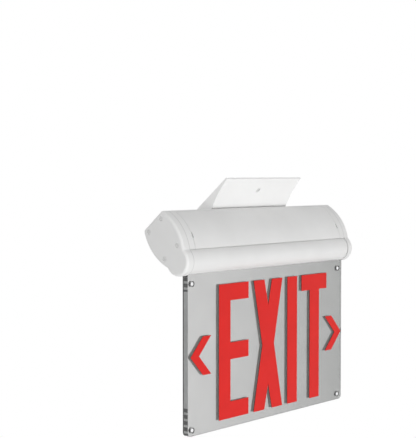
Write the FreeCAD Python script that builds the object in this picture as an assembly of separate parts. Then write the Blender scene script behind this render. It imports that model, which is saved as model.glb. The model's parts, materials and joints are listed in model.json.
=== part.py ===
import FreeCAD, Part
import math
import os

from FreeCAD import Vector

os.makedirs("parts", exist_ok=True)

# Emergency exit light for a sloped ceiling: a curved housing under a ceiling canopy, and a turning
# barrel along its lower edge that carries an edge-lit panel.  Millimetres.  Row frame: origin at the
# middle of the canopy's ceiling face, +X along the sign's width, +Z up, -Y towards the reader.
# Housing pieces are drawn upright about the barrel's axis (Y to the rear, Z up) and then tilted to
# the slope.  Sign pieces are drawn hanging plumb about the same axis.

# Slope and main distances
slope_deg = 40.0
axis_to_ceiling = 71.0

# Panel
panel_width = 291.2
panel_drop = 191.2  # barrel axis to the panel's lower edge
panel_rise = 2.8  # barrel axis to the panel's upper edge
clear_thickness = 5.8
backing_thickness = 1.5
panel_corner = 5.0
panel_offset = 2.7  # panel's middle plane in front of the barrel axis
panel_shoulder_gap = 0.3  # under the barrel plugs
panel_tab_gap = 0.8  # between the panel's narrower upper part and the barrel plugs
rivet_inset = 7.7
rivet_low_height = 6.4
rivet_high_drop = 25.0
rivet_shank = 1.6
rivet_head = 2.3
rivet_recess = 3.2
rivet_head_depth = 1.0
rivet_dome = 0.9
rivet_tail = 0.6

# Housing section
body_top = 56.4
side_widest = 23.45
side_radius = 58.15
side_mid_height = 31.5
skirt_height = 4.0
top_corner = 3.4
shell_wall = 2.0
floor_height = 18.4
floor_thickness = 1.8
cradle_wall = 2.0

# Barrel
barrel_radius = 15.5
barrel_wall = 1.9
barrel_gap = 0.4  # between barrel and cradle
barrel_end_gap = 0.3  # between barrel and end cap
slot_clearance = 0.15

# End caps
cap_thickness = 10.4
cap_face_wall = 3.5
cap_rim_wall = 2.6
cap_edge_round = 3.2
cap_side_gap = 0.5  # between panel and end cap
lobe_radius = 16.3
cap_waist_round = 4.0
cap_pocket_floor = 20.5
upper_port = (11.7, 49.5)
lower_port = (12.0, 12.8)
port_bore = 1.25
port_wall = 1.9
cap_screw_radius = 1.25
cap_screw_clear = 0.3
cap_screw_head = 2.2
cap_screw_head_depth = 1.5
cap_screw_sink = 0.1
cap_screw_grip = 9.0

# Overlap of pieces that are joined into one solid
joint_bite = 0.5

# Front cover
cover_inset = 19.4  # cap face to cover end
cover_wall = 1.8
cover_top = 52.4
cover_gap = 0.2
frame_depth = 1.6
frame_width = 4.0
tongue_width = 18.0
tongue_wall = 1.2
tongue_reach = 1.9
tongue_spacing = 100.0
pry_low = 15.2
pry_height = 6.4
pry_width = 1.3

# Pivot
journal_radius = 5.0
journal_clearance = 0.05
journal_length = 8.0
bushing_wall = 2.5
bushing_flange = 1.6
bushing_flange_reach = 2.0
plug_length = 5.0
washer_radius = 9.5
washer_thickness = 0.9
washer_proud = 0.1

# Canopy and mounting plate
canopy_length = 140.0
canopy_half_depth = 55.0
canopy_neck = 12.6
canopy_rim = 2.0
canopy_bow = 1.5
canopy_wall = 2.2
canopy_floor = 2.5
canopy_screw_offset = 38.0
canopy_screw_radius = 1.6
canopy_screw_head = 2.8
canopy_screw_head_height = 1.6
canopy_boss_wall = 1.8
canopy_screw_drop = 3.2  # ceiling to the seat of the canopy screws
canopy_screw_clear = 0.3
plate_length = 100.0
plate_depth = 84.0
plate_thickness = 1.8
plate_corner = 12.0
box_hole_pcd = 88.9
box_hole_radius = 2.4
nipple_radius = 5.1
nipple_bore = 3.6
nipple_collar = 2.5
nipple_collar_height = 2.4
nipple_tail = 5.2
nipple_clearance = 0.3
locknut_height = 3.2
locknut_across = 15.0

# Light engine inside the barrel
carrier_end_gap = 1.3  # between carrier and barrel plugs
carrier_wall = 1.7
carrier_clearance = 0.05
carrier_foot_drop = 10.6
panel_grip = 0.05
led_board_width = 10.0
led_board_thickness = 1.6
led_board_height = 5.0
led_size = 3.0
led_height = 0.8
led_count = 24
fin_count = 5
fin_thickness = 1.2
pin_radius = 1.5
pin_drop = 6.5
pin_spacing = 110.0

# Electrical gear in the housing
cell_radius = 7.2
cell_length = 49.0
cells_in_row = 2
cell_row_gap = 0.2
cell_terminal_radius = 2.6
cell_terminal_height = 1.2
battery_end_gap = 6.9  # between cover end and first cell
strap_width = 12.0
strap_wall = 1.0
strap_foot = 4.0
board_start = 22.0
part_margin = 9.0  # board end to the first part on it
part_gap = 3.0  # between parts on the board
capacitor_gap = 2.0
board_length = 104.0
board_width = 32.0
board_thickness = 1.6
board_lift = 5.0
board_screw_clear = 0.2
standoff_radius = 2.5
standoff_screw_radius = 1.2
standoff_screw_head = 2.3
standoff_screw_end = 1.5  # floor to the screw's tip
standoff_screw_head_height = 1.4
transformer_size = (26.0, 22.0, 18.0)
bobbin_share = 0.62  # bobbin length over the transformer's
core_share = 0.55  # core depth over the transformer's
core_lift = 2.9
capacitor_radius = 4.0
capacitor_height = 14.0
relay_size = (16.0, 10.0, 11.0)
terminal_size = (9.0, 24.0, 10.0)
terminal_ways = 4
terminal_floor = 4.0
terminal_hole_radius = 1.6

# Test button, switch and charge lamp on the right end cap
button_height = 32.0
button_radius = 3.5
button_clearance = 0.05
button_proud = 1.6
button_edge_round = 0.7
button_travel = 1.2
button_collar = 1.1
button_collar_height = 1.2
collar_gap = 0.3  # between collar and end cap
button_stem = 1.4
stem_reach = 5.0
switch_size = (7.0, 16.0, 11.0)
switch_post = 1.3
switch_post_offset = 6.5
switch_gap = 0.4
lamp_height = 43.0
lamp_radius = 2.4
lamp_proud = 1.5
lamp_flange = 1.0
lamp_flange_thickness = 1.4
lamp_body = 4.0

# Sizes that follow from the driving ones
slope = math.radians(slope_deg)
panel_thickness = clear_thickness + backing_thickness
panel_front = -panel_offset - panel_thickness / 2
panel_back = panel_front + panel_thickness
backing_front = panel_front + clear_thickness
cap_inner = panel_width / 2 + cap_side_gap
cap_outer = cap_inner + cap_thickness
cover_half = cap_outer - cover_inset
cradle_radius = barrel_radius + barrel_gap
cradle_outer = cradle_radius + cradle_wall
barrel_bore = barrel_radius - barrel_wall
barrel_half = cap_inner - barrel_end_gap
plug_inner = barrel_half - plug_length
carrier_half = plug_inner - carrier_end_gap
battery_start = battery_end_gap - cover_half
bushing_bore = journal_radius + journal_clearance
bushing_radius = bushing_bore + bushing_wall
side_centre = side_widest - side_radius
pocket_floor_x = cap_outer - cap_face_wall
canopy_screw_seat = axis_to_ceiling - canopy_screw_drop


def box(x0, x1, y0, y1, z0, z1):
    return Part.makeBox(x1 - x0, y1 - y0, z1 - z0, Vector(x0, y0, z0))


def rod_x(radius, x0, x1, y=0.0, z=0.0):
    return Part.makeCylinder(radius, x1 - x0, Vector(x0, y, z), Vector(1, 0, 0))


def rod_y(radius, y0, y1, x=0.0, z=0.0):
    return Part.makeCylinder(radius, y1 - y0, Vector(x, y0, z), Vector(0, 1, 0))


def rod_z(radius, z0, z1, x=0.0, y=0.0):
    return Part.makeCylinder(radius, z1 - z0, Vector(x, y, z0), Vector(0, 0, 1))


def fuse(shapes):
    first, rest = shapes[0], shapes[1:]
    return first.fuse(rest).removeSplitter() if rest else first


def mirror_x(shape):
    return shape.mirror(Vector(0, 0, 0), Vector(1, 0, 0))


def side_at(height, inset):
    """Distance of the housing's curved side from its middle plane, inset from the outer surface."""
    rise = height - side_mid_height
    return side_centre + math.sqrt((side_radius - inset) ** 2 - rise**2)


def section(inset, low, high, x0, x1):
    """Length of the housing's outline, inset by a wall, between two heights."""
    turns = ((-1, low), (-1, high), (1, high), (1, low))
    corners = [Vector(x0, side * side_at(height, inset), height) for side, height in turns]
    middle = (low + high) / 2
    front = Vector(x0, -side_at(middle, inset), middle)
    rear = Vector(x0, side_at(middle, inset), middle)
    edges = [
        Part.Arc(corners[0], front, corners[1]).toShape(),
        Part.LineSegment(corners[1], corners[2]).toShape(),
        Part.Arc(corners[2], rear, corners[3]).toShape(),
        Part.LineSegment(corners[3], corners[0]).toShape(),
    ]
    return Part.Face(Part.Wire(edges)).extrude(Vector(x1 - x0, 0, 0))


def rounded_section(low, x0, x1):
    """Housing outline with its two upper corners rounded."""
    solid = section(0.0, low, body_top, x0, x1)
    edges = [
        e
        for e in solid.Edges
        if len(e.Vertexes) == 2
        and all(abs(v.Z - body_top) < 1e-6 for v in e.Vertexes)
        and abs(e.Vertexes[0].X - e.Vertexes[1].X) > 1.0
    ]
    return solid.makeFillet(top_corner, edges)


def front_band(outer, inner, low, high, half):
    """Slice of the front wall between two insets, two heights and plus or minus a half length."""
    slab = section(outer, low, high, -half, half)
    slab = slab.cut(section(inner, low - 1, high + 1, -half - 1, half + 1))
    return slab.common(box(-half, half, -2 * side_widest, 0, low - 1, high + 1))


def ports():
    """The four screw channels' centres, front and rear."""
    return [(s * y, z) for y, z in (upper_port, lower_port) for s in (-1, 1)]


def tilt(shape):
    """Moves an upright housing piece to its place under the sloped ceiling."""
    moved = shape.copy()
    moved.rotate(Vector(0, 0, 0), Vector(1, 0, 0), -slope_deg)
    return hang(moved)


def hang(shape):
    """Moves a piece drawn about the barrel's axis into the row frame."""
    moved = shape.copy()
    moved.translate(Vector(0, -axis_to_ceiling * math.sin(slope), -axis_to_ceiling * math.cos(slope)))
    return moved


def save(name, shape):
    shape.exportStep("parts/" + name + ".step")


# Housing -----------------------------------------------------------------------------------------


def make_housing_shell():
    outer = rounded_section(skirt_height, -cap_inner, cap_inner)
    reach = cap_inner + 1
    main = section(shell_wall, floor_height, body_top - shell_wall, -reach, reach)
    low = section(shell_wall, skirt_height + 1, floor_height - floor_thickness, -reach, reach)
    low = low.cut(rod_x(cradle_outer, -reach - 1, reach + 1))
    uy, uz = upper_port
    block = port_bore + port_wall
    for y in (-uy, uy):
        main = main.cut(box(-reach - 1, reach + 1, y - block, y + block, uz - block, body_top))
    for y in (-lower_port[0], lower_port[0]):
        low = low.cut(rod_x(block, -reach - 1, reach + 1, y, lower_port[1]))
    shell = outer.cut([main, low, rod_x(cradle_radius, -reach, reach)])
    hole = cover_half + cover_gap
    window = front_band(-1.0, shell_wall + cover_gap, skirt_height - 2, cover_top + cover_gap, hole)
    frame_inner = shell_wall + frame_depth
    frame_top = cover_top + frame_width
    edge = front_band(shell_wall - joint_bite, frame_inner, floor_height, frame_top, hole + frame_width)
    gap = front_band(0.0, frame_inner + 1, floor_height - 1, frame_top + 1, cover_half - frame_width)
    shell = shell.cut(window).fuse(edge.cut([gap, window])).removeSplitter()
    for y, z in ports():
        shell = shell.cut(rod_x(port_bore, -reach, reach, y, z))
    return shell.cut(rod_z(nipple_radius + nipple_clearance, floor_height + 5, body_top + 1))


def make_front_cover():
    half = cover_half - cover_gap
    cover = front_band(0.0, cover_wall, skirt_height, cover_top, half)
    cover = cover.cut(rod_x(cradle_radius, -half - 1, half + 1))
    for x in (-tongue_spacing, 0.0, tongue_spacing):
        deep = shell_wall + cover_gap + tongue_wall
        root = front_band(cover_wall - joint_bite, deep, cover_top - 5, cover_top, half)
        lip = front_band(shell_wall + cover_gap, deep, cover_top - 1, cover_top + tongue_reach, half)
        slab = box(x - tongue_width / 2, x + tongue_width / 2, -2 * side_widest, 0, 0, body_top)
        cover = cover.fuse(root.fuse(lip).common(slab))
    cover = cover.removeSplitter()
    for side in (-1, 1):
        end = side * half
        slit = box(min(end, end - side * pry_width), max(end, end - side * pry_width), -2 * side_widest, 0,
                   pry_low, pry_low + pry_height)
        cover = cover.cut(slit)
    return cover


def cap_blank():
    """Solid end cap on the +X side with its outline rounded."""
    upper = rounded_section(skirt_height - 3.0, cap_inner, cap_outer)
    blank = upper.fuse(rod_x(lobe_radius, cap_inner, cap_outer)).removeSplitter()
    waist = [
        e
        for e in blank.Edges
        if len(e.Vertexes) == 2
        and abs(e.Vertexes[0].X - e.Vertexes[1].X) > cap_thickness - 0.1
        and abs(e.Vertexes[0].Z) < cap_pocket_floor
        and abs(e.Vertexes[0].Y) > barrel_bore - 4
    ]
    blank = blank.makeFillet(cap_waist_round, waist)
    rim = [e for e in blank.Edges if all(abs(v.X - cap_outer) < 1e-6 for v in e.Vertexes)]
    return blank.makeFillet(cap_edge_round, rim)


def make_end_cap(fittings):
    """End cap on the +X side; fittings adds the holes and posts for the button and lamp."""
    cap = cap_blank()
    pocket = section(
        cap_rim_wall, cap_pocket_floor, body_top - cap_rim_wall, cap_inner - 1, pocket_floor_x
    )
    for y, z in ports():
        if z > cap_pocket_floor:
            pocket = pocket.cut(rod_x(port_bore + port_wall, cap_inner - 2, cap_outer, y, z))
    cap = cap.cut(pocket)
    for y, z in ports():
        cap = cap.cut(rod_x(cap_screw_radius + cap_screw_clear, cap_inner - 1, cap_outer + 1, y, z))
        cap = cap.cut(
            rod_x(cap_screw_head + cap_screw_clear, cap_outer - cap_screw_head_depth, cap_outer + 1, y, z)
        )
    bore_end = cap_inner + journal_length + barrel_end_gap
    cap = cap.cut(rod_x(bushing_radius, cap_inner - 1, bore_end))
    cap = cap.cut(rod_x(bushing_radius + bushing_flange_reach, cap_inner - 1, cap_inner + bushing_flange))
    if fittings:
        low, high = pocket_floor_x - switch_stand(), pocket_floor_x + joint_bite
        posts = [
            rod_x(switch_post, low, high, y, button_height) for y in (-switch_post_offset, switch_post_offset)
        ]
        cap = fuse([cap] + posts)
        cap = cap.cut(rod_x(button_radius + button_clearance, cap_inner, cap_outer + 1, 0, button_height))
        cap = cap.cut(rod_x(lamp_radius, cap_inner, cap_outer + 1, 0, lamp_height))
    return cap


def switch_stand():
    """Height of the switch's posts: room for the collar, its travel and a gap."""
    return collar_gap + button_collar_height + button_travel + switch_gap


def make_cap_screws():
    screws = []
    for y, z in ports():
        head_back = cap_outer - cap_screw_head_depth
        screws.append(
            rod_x(cap_screw_head, head_back, cap_outer - cap_screw_sink, y, z).fuse(
                rod_x(cap_screw_radius, cap_inner - cap_screw_grip, head_back, y, z)
            ).removeSplitter()
        )
    return Part.makeCompound(screws + [mirror_x(s) for s in screws])


def make_bushing():
    end = cap_inner + journal_length + barrel_end_gap
    body = rod_x(bushing_radius, cap_inner, end).fuse(
        rod_x(bushing_radius + bushing_flange_reach, cap_inner, cap_inner + bushing_flange)
    )
    return body.removeSplitter().cut(rod_x(bushing_bore, cap_inner - 1, end + 1))


# Canopy and mounting -----------------------------------------------------------------------------


def canopy_solid(inset, half, low, high):
    """Canopy profile with its bowed flanks, moved inwards by a wall."""
    rise = axis_to_ceiling - canopy_rim - body_top
    run = canopy_half_depth - canopy_neck
    angle = math.atan2(rise, run)
    shift_y, shift_z = inset * math.sin(angle), inset * math.cos(angle)
    mid_y = (canopy_half_depth + canopy_neck) / 2 - canopy_bow * math.sin(angle) - shift_y
    mid_z = body_top + rise / 2 + canopy_bow * math.cos(angle) + shift_z
    out_y, out_z = canopy_half_depth - shift_y, body_top + rise + shift_z
    neck_y, neck_z = canopy_neck - shift_y, body_top + shift_z
    edges = []
    for s in (-1, 1):
        a, b, c = (Vector(-half, s * y, z) for y, z in ((neck_y, neck_z), (mid_y, mid_z), (out_y, out_z)))
        edges.append(Part.Arc(a, b, c).toShape())
        edges.append(Part.LineSegment(c, Vector(-half, s * out_y, high)).toShape())
    edges.append(Part.LineSegment(Vector(-half, -neck_y, neck_z), Vector(-half, neck_y, neck_z)).toShape())
    edges.append(Part.LineSegment(Vector(-half, -out_y, high), Vector(-half, out_y, high)).toShape())
    solid = Part.Face(Part.Wire(Part.__sortEdges__(edges))).extrude(Vector(2 * half, 0, 0))
    return solid.common(box(-half, half, -2 * out_y, 2 * out_y, low, high))


def make_canopy():
    half = canopy_length / 2
    outer = canopy_solid(0.0, half, body_top, axis_to_ceiling)
    inner = canopy_solid(canopy_wall, half - canopy_wall, body_top + canopy_floor, axis_to_ceiling + 5)
    canopy = outer.cut(inner)
    canopy = canopy.cut(rod_z(nipple_radius + nipple_clearance, body_top - 1, axis_to_ceiling))
    for s in (-1, 1):
        y = s * canopy_screw_offset
        boss_low = canopy_screw_seat - canopy_boss_wall
        boss = rod_z(canopy_screw_head + canopy_boss_wall, boss_low, plate_under(), 0, y)
        canopy = canopy.fuse(boss.common(outer)).removeSplitter()
        shank, head = canopy_screw_radius + canopy_screw_clear, canopy_screw_head + canopy_screw_clear
        canopy = canopy.cut(rod_z(shank, body_top, axis_to_ceiling, 0, y))
        canopy = canopy.cut(rod_z(head, body_top, canopy_screw_seat, 0, y))
    return canopy


def plate_under():
    return axis_to_ceiling - plate_thickness


def make_mounting_plate():
    half_x, half_y = plate_length / 2, plate_depth / 2
    plate = box(-half_x, half_x, -half_y, half_y, plate_under(), axis_to_ceiling)
    corners = [e for e in plate.Edges if abs(e.Vertexes[0].Z - e.Vertexes[1].Z) > plate_thickness / 2]
    plate = plate.makeFillet(plate_corner, corners)
    plate = plate.cut(rod_z(nipple_radius, plate_under() - 1, axis_to_ceiling + 1))
    reach = box_hole_pcd / 2 * math.sqrt(0.5)
    for sx in (-1, 1):
        for sy in (-1, 1):
            hole = rod_z(box_hole_radius, plate_under() - 1, axis_to_ceiling + 1, sx * reach, sy * reach)
            plate = plate.cut(hole)
    for s in (-1, 1):
        y = s * canopy_screw_offset
        plate = plate.cut(rod_z(canopy_screw_radius, plate_under() - 1, axis_to_ceiling + 1, 0, y))
    return plate


def make_canopy_screws():
    screws = []
    for s in (-1, 1):
        y = s * canopy_screw_offset
        head_low = canopy_screw_seat - canopy_screw_head_height
        head = rod_z(canopy_screw_head, head_low, canopy_screw_seat, 0, y)
        screws.append(head.fuse(rod_z(canopy_screw_radius, canopy_screw_seat, axis_to_ceiling, 0, y))
                      .removeSplitter())
    return Part.makeCompound(screws)


def make_hub_nipple():
    tail = body_top - shell_wall - nipple_tail
    tube = rod_z(nipple_radius, tail, axis_to_ceiling)
    collar = rod_z(nipple_radius + nipple_collar, plate_under() - nipple_collar_height, plate_under())
    return tube.fuse(collar).removeSplitter().cut(rod_z(nipple_bore, tail - 1, axis_to_ceiling + 1))


def make_hub_locknut():
    top = body_top - shell_wall
    corner = locknut_across / math.sqrt(3)
    points = [
        Vector(corner * math.cos(math.radians(60 * i)), corner * math.sin(math.radians(60 * i)),
               top - locknut_height)
        for i in range(6)
    ]
    nut = Part.Face(Part.makePolygon(points + points[:1])).extrude(Vector(0, 0, locknut_height))
    return nut.cut(rod_z(nipple_radius, top - locknut_height - 1, top + 1))


# Electrical gear ---------------------------------------------------------------------------------


def make_battery_pack():
    cells = []
    centre_z = floor_height + cell_radius
    for side in (-1, 1):
        y = side * (cell_radius + cell_row_gap / 2)
        for i in range(cells_in_row):
            x0 = battery_start + i * cell_length
            can = rod_x(cell_radius, x0, x0 + cell_length - cell_terminal_height, y, centre_z)
            tip = rod_x(cell_terminal_radius, x0 + cell_length - cell_terminal_height, x0 + cell_length, y,
                        centre_z)
            cells.append(can.fuse(tip).removeSplitter())
    return Part.makeCompound(cells)


def strap_places():
    return [battery_start + cell_length * (i + 0.5) for i in range(cells_in_row)]


def make_battery_straps():
    straps = []
    inner_y = 2 * cell_radius + cell_row_gap / 2
    top = floor_height + 2 * cell_radius
    for x in strap_places():
        x0, x1 = x - strap_width / 2, x + strap_width / 2
        strap = box(x0, x1, -inner_y - strap_wall, inner_y + strap_wall, floor_height, top + strap_wall)
        strap = strap.cut(box(x0 - 1, x1 + 1, -inner_y, inner_y, floor_height - 1, top))
        for s in (-1, 1):
            near, far = s * inner_y, s * (inner_y + strap_foot)
            strap = strap.fuse(box(x0, x1, min(near, far), max(near, far), floor_height,
                                   floor_height + strap_wall))
        straps.append(strap.removeSplitter())
    return Part.makeCompound(straps)


def board_under():
    return floor_height + board_lift


def board_posts():
    inset = 2 * standoff_radius - 1
    xs = (board_start + inset, board_start + board_length - inset)
    ys = (-board_width / 2 + inset, board_width / 2 - inset)
    return [(x, y) for x in xs for y in ys]


def make_driver_board():
    board = box(board_start, board_start + board_length, -board_width / 2, board_width / 2, board_under(),
                board_under() + board_thickness)
    for x, y in board_posts():
        board = board.cut(rod_z(standoff_screw_radius + board_screw_clear, 0, body_top, x, y))
    return board


def make_standoffs():
    low, high = floor_height, board_under()
    return Part.makeCompound(
        [
            rod_z(standoff_radius, low, high, x, y)
            .cut(rod_z(standoff_screw_radius, low + 1, high + 1, x, y))
            for x, y in board_posts()
        ]
    )


def make_board_screws():
    top = board_under() + board_thickness
    return Part.makeCompound(
        [
            rod_z(standoff_screw_head, top, top + standoff_screw_head_height, x, y)
            .fuse(rod_z(standoff_screw_radius, floor_height + standoff_screw_end, top, x, y))
            .removeSplitter()
            for x, y in board_posts()
        ]
    )


def board_places():
    """Middle of each part along the board, one after another from the inner end."""
    places, x = {}, board_start + part_margin
    lengths = {
        "terminal": terminal_size[0],
        "relay": relay_size[0],
        "capacitors": 4 * capacitor_radius + capacitor_gap,
        "transformer": transformer_size[0],
    }
    for part, length in lengths.items():
        places[part] = x + length / 2
        x += length + part_gap
    return places


def on_board(size, x, y=0.0):
    top = board_under() + board_thickness
    sx, sy, sz = size
    return box(x - sx / 2, x + sx / 2, y - sy / 2, y + sy / 2, top, top + sz)


def make_transformer():
    x = board_places()["transformer"]
    sx, sy, sz = transformer_size
    bobbin = on_board((sx * bobbin_share, sy, sz - core_lift / 2), x)
    core = on_board((sx, sy * core_share, sz - core_lift), x)
    core.translate(Vector(0, 0, core_lift))
    return bobbin.fuse(core).removeSplitter()


def make_capacitors():
    top = board_under() + board_thickness
    x = board_places()["capacitors"]
    step = capacitor_radius + capacitor_gap / 2
    corners = ((-step, -step), (-step, step), (step, -step))
    return Part.makeCompound(
        [rod_z(capacitor_radius, top, top + capacitor_height, x + dx, dy) for dx, dy in corners]
    )


def make_relay():
    return on_board(relay_size, board_places()["relay"])


def make_terminal_block():
    x = board_places()["terminal"]
    block = on_board(terminal_size, x)
    top = board_under() + board_thickness
    pitch = terminal_size[1] / terminal_ways
    for i in range(terminal_ways):
        y = -terminal_size[1] / 2 + pitch * (i + 0.5)
        low, high = top + terminal_floor, top + terminal_size[2] + 1
        block = block.cut(rod_z(terminal_hole_radius, low, high, x, y))
    return block


# Test button, switch and lamp --------------------------------------------------------------------


def collar_top():
    return pocket_floor_x - collar_gap


def make_test_button():
    collar_low = collar_top() - button_collar_height
    head = rod_x(button_radius, collar_low, cap_outer + button_proud, 0, button_height)
    tip = [e for e in head.Edges if abs(e.BoundBox.XMin - cap_outer - button_proud) < 1e-6]
    head = head.makeFillet(button_edge_round, tip)
    collar = rod_x(button_radius + button_collar, collar_low, collar_top(), 0, button_height)
    stem = rod_x(button_stem, collar_low - stem_reach, collar_low, 0, button_height)
    return fuse([head, collar, stem])


def make_test_switch():
    top = pocket_floor_x - switch_stand()
    sx, sy, sz = switch_size
    body = box(top - sx, top, -sy / 2, sy / 2, button_height - sz / 2, button_height + sz / 2)
    return body.cut(rod_x(button_stem + button_clearance, top - sx + 1, top + 1, 0, button_height))


def make_status_lamp():
    flange = rod_x(lamp_radius + lamp_flange, pocket_floor_x - lamp_flange_thickness, pocket_floor_x, 0,
                   lamp_height)
    back = pocket_floor_x - lamp_body
    stem = rod_x(lamp_radius, back, cap_outer + lamp_proud, 0, lamp_height)
    tip = [e for e in stem.Edges if abs(e.BoundBox.XMin - cap_outer - lamp_proud) < 1e-6]
    return fuse([stem.makeFillet(lamp_proud * 0.9, tip), flange])


# Sign --------------------------------------------------------------------------------------------


def make_barrel():
    tube = rod_x(barrel_radius, -barrel_half, barrel_half).cut(
        rod_x(barrel_bore, -barrel_half - 1, barrel_half + 1)
    )
    front, back = panel_front - slot_clearance, panel_back + slot_clearance
    return tube.cut(box(-barrel_half - 1, barrel_half + 1, front, back, -barrel_radius - 1, 0))


def make_barrel_plug():
    body = rod_x(barrel_bore, plug_inner, barrel_half)
    seat = barrel_half + washer_proud - washer_thickness
    recess = rod_x(washer_radius, seat, barrel_half + 1)
    journal = rod_x(journal_radius, plug_inner, cap_inner + journal_length)
    return fuse([body.cut(recess), journal])


def make_washer():
    seat = barrel_half + washer_proud - washer_thickness
    return rod_x(washer_radius, seat, seat + washer_thickness).cut(
        rod_x(journal_radius, seat - 1, seat + washer_thickness + 1)
    )


def panel_outline(front, back):
    """Sheet with rounded lower corners and its upper corners cut back for the plugs."""
    half = panel_width / 2
    sheet = box(-half, half, front, back, -panel_drop, panel_rise)
    low = [
        e
        for e in sheet.Edges
        if abs(e.Vertexes[0].Y - e.Vertexes[1].Y) > 0.1 and abs(e.Vertexes[0].Z + panel_drop) < 1e-6
    ]
    sheet = sheet.makeFillet(panel_corner, low)
    shoulder = -barrel_bore - panel_shoulder_gap
    for s in (-1, 1):
        inner, outer = s * (plug_inner - panel_tab_gap), s * (half + 1)
        sheet = sheet.cut(box(min(inner, outer), max(inner, outer), front - 1, back + 1, shoulder,
                              panel_rise + 1))
    for x in pin_places():
        sheet = sheet.cut(rod_y(pin_radius, front - 1, back + 1, x, -pin_drop))
    for x, z in rivet_places():
        sheet = sheet.cut(rod_y(rivet_shank, front - 1, back + 1, x, z))
    return sheet


def pin_places():
    return (-pin_spacing, 0.0, pin_spacing)


def rivet_places():
    x = panel_width / 2 - rivet_inset
    return [(s * x, z) for s in (-1, 1) for z in (-rivet_high_drop, -panel_drop + rivet_low_height)]


def make_light_panel():
    panel = panel_outline(panel_front, backing_front)
    for x, z in rivet_places():
        panel = panel.cut(rod_y(rivet_recess, panel_front - 1, panel_front + rivet_head_depth, x, z))
    return panel


def make_silver_backing():
    return panel_outline(backing_front, panel_back)


def make_panel_rivets():
    rivets = []
    for x, z in rivet_places():
        seat = panel_front + rivet_head_depth
        head = rod_y(rivet_head, seat - rivet_dome, seat, x, z)
        crown = [e for e in head.Edges if abs(e.BoundBox.YMax - seat + rivet_dome) < 1e-6]
        head = head.makeFillet(rivet_dome * 0.9, crown)
        shank = rod_y(rivet_shank, seat, panel_back, x, z)
        tail = rod_y(rivet_head, panel_back, panel_back + rivet_tail, x, z)
        rivets.append(fuse([head, shank, tail]))
    return Part.makeCompound(rivets)


def make_light_carrier():
    half = carrier_half
    front, back = panel_front - panel_grip, panel_back + panel_grip
    wide = led_board_width / 2 + carrier_wall
    board_top = led_board_height + led_board_thickness
    crown = board_top + carrier_wall
    foot = -carrier_foot_drop
    walls = box(-half, half, front - carrier_wall, back + carrier_wall, foot, led_board_height)
    fin_start = -panel_offset - wide
    head = box(-half, half, fin_start, fin_start + 2 * wide, led_board_height - carrier_wall, crown)
    feet = box(-half, half, -barrel_bore, barrel_bore, foot, foot + carrier_wall)
    arms = box(-half, half, -barrel_bore, barrel_bore, led_board_height - carrier_wall, led_board_height)
    pitch = 2 * (wide - fin_thickness / 2) / (fin_count - 1)
    fin_fronts = [fin_start + i * pitch for i in range(fin_count)]
    fins = [box(-half, half, y, y + fin_thickness, crown - joint_bite, barrel_bore) for y in fin_fronts]
    bore = rod_x(barrel_bore - carrier_clearance, -half, half)
    carrier = fuse([walls, head, feet, arms] + fins).common(bore)
    carrier = carrier.cut(box(-half - 1, half + 1, front, back, -barrel_radius, led_board_height + 0.1))
    seat = led_board_front()
    seat_cut = box(-half - 1, half + 1, seat, seat + led_board_width, led_board_height, board_top)
    carrier = carrier.cut(seat_cut)
    for x in pin_places():
        carrier = carrier.cut(rod_y(pin_radius, -barrel_radius, barrel_radius, x, -pin_drop))
    return carrier


def led_board_front():
    return -panel_offset - led_board_width / 2


def make_led_board():
    front = led_board_front()
    top = led_board_height + led_board_thickness
    return box(-carrier_half, carrier_half, front, front + led_board_width, led_board_height, top)


def make_led_emitters():
    pitch = 2 * (carrier_half - led_size) / led_count
    start = -pitch * (led_count - 1) / 2
    leds = []
    for i in range(led_count):
        x = start + i * pitch
        leds.append(box(x - led_size / 2, x + led_size / 2, -panel_offset - led_size / 2,
                        -panel_offset + led_size / 2, led_board_height - led_height, led_board_height))
    return Part.makeCompound(leds)


def make_panel_pins():
    reach = panel_grip + carrier_wall
    front, back = panel_front - reach, panel_back + reach
    return Part.makeCompound([rod_y(pin_radius, front, back, x, -pin_drop) for x in pin_places()])


right_cap = make_end_cap(True)
left_cap = mirror_x(make_end_cap(False))
bushing = make_bushing()
plug = make_barrel_plug()
washer = make_washer()

housing_nodes = {
    "mounting_canopy": make_canopy(),
    "mounting_plate": make_mounting_plate(),
    "canopy_screws": make_canopy_screws(),
    "hub_nipple": make_hub_nipple(),
    "hub_locknut": make_hub_locknut(),
    "housing_shell": make_housing_shell(),
    "front_cover": make_front_cover(),
    "end_cap_left": left_cap,
    "end_cap_right": right_cap,
    "end_cap_screws": make_cap_screws(),
    "pivot_bushing_left": mirror_x(bushing),
    "pivot_bushing_right": bushing,
    "battery_pack": make_battery_pack(),
    "battery_straps": make_battery_straps(),
    "driver_board": make_driver_board(),
    "board_standoffs": make_standoffs(),
    "board_screws": make_board_screws(),
    "transformer": make_transformer(),
    "capacitors": make_capacitors(),
    "transfer_relay": make_relay(),
    "terminal_block": make_terminal_block(),
    "test_button": make_test_button(),
    "test_switch": make_test_switch(),
    "status_lamp": make_status_lamp(),
}
sign_nodes = {
    "pivot_barrel": make_barrel(),
    "barrel_plug_left": mirror_x(plug),
    "barrel_plug_right": plug,
    "friction_washer_left": mirror_x(washer),
    "friction_washer_right": washer,
    "light_carrier": make_light_carrier(),
    "led_board": make_led_board(),
    "led_emitters": make_led_emitters(),
    "panel_pins": make_panel_pins(),
    "light_panel": make_light_panel(),
    "silver_backing": make_silver_backing(),
    "panel_rivets": make_panel_rivets(),
}

for node, shape in housing_nodes.items():
    save(node, tilt(shape))
for node, shape in sign_nodes.items():
    save(node, hang(shape))
for node, shape in {**housing_nodes, **sign_nodes}.items():
    print(f"{node:24s} solids {len(shape.Solids)}  valid {shape.isValid()}  volume {shape.Volume:.1f}")
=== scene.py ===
import json
import math

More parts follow.
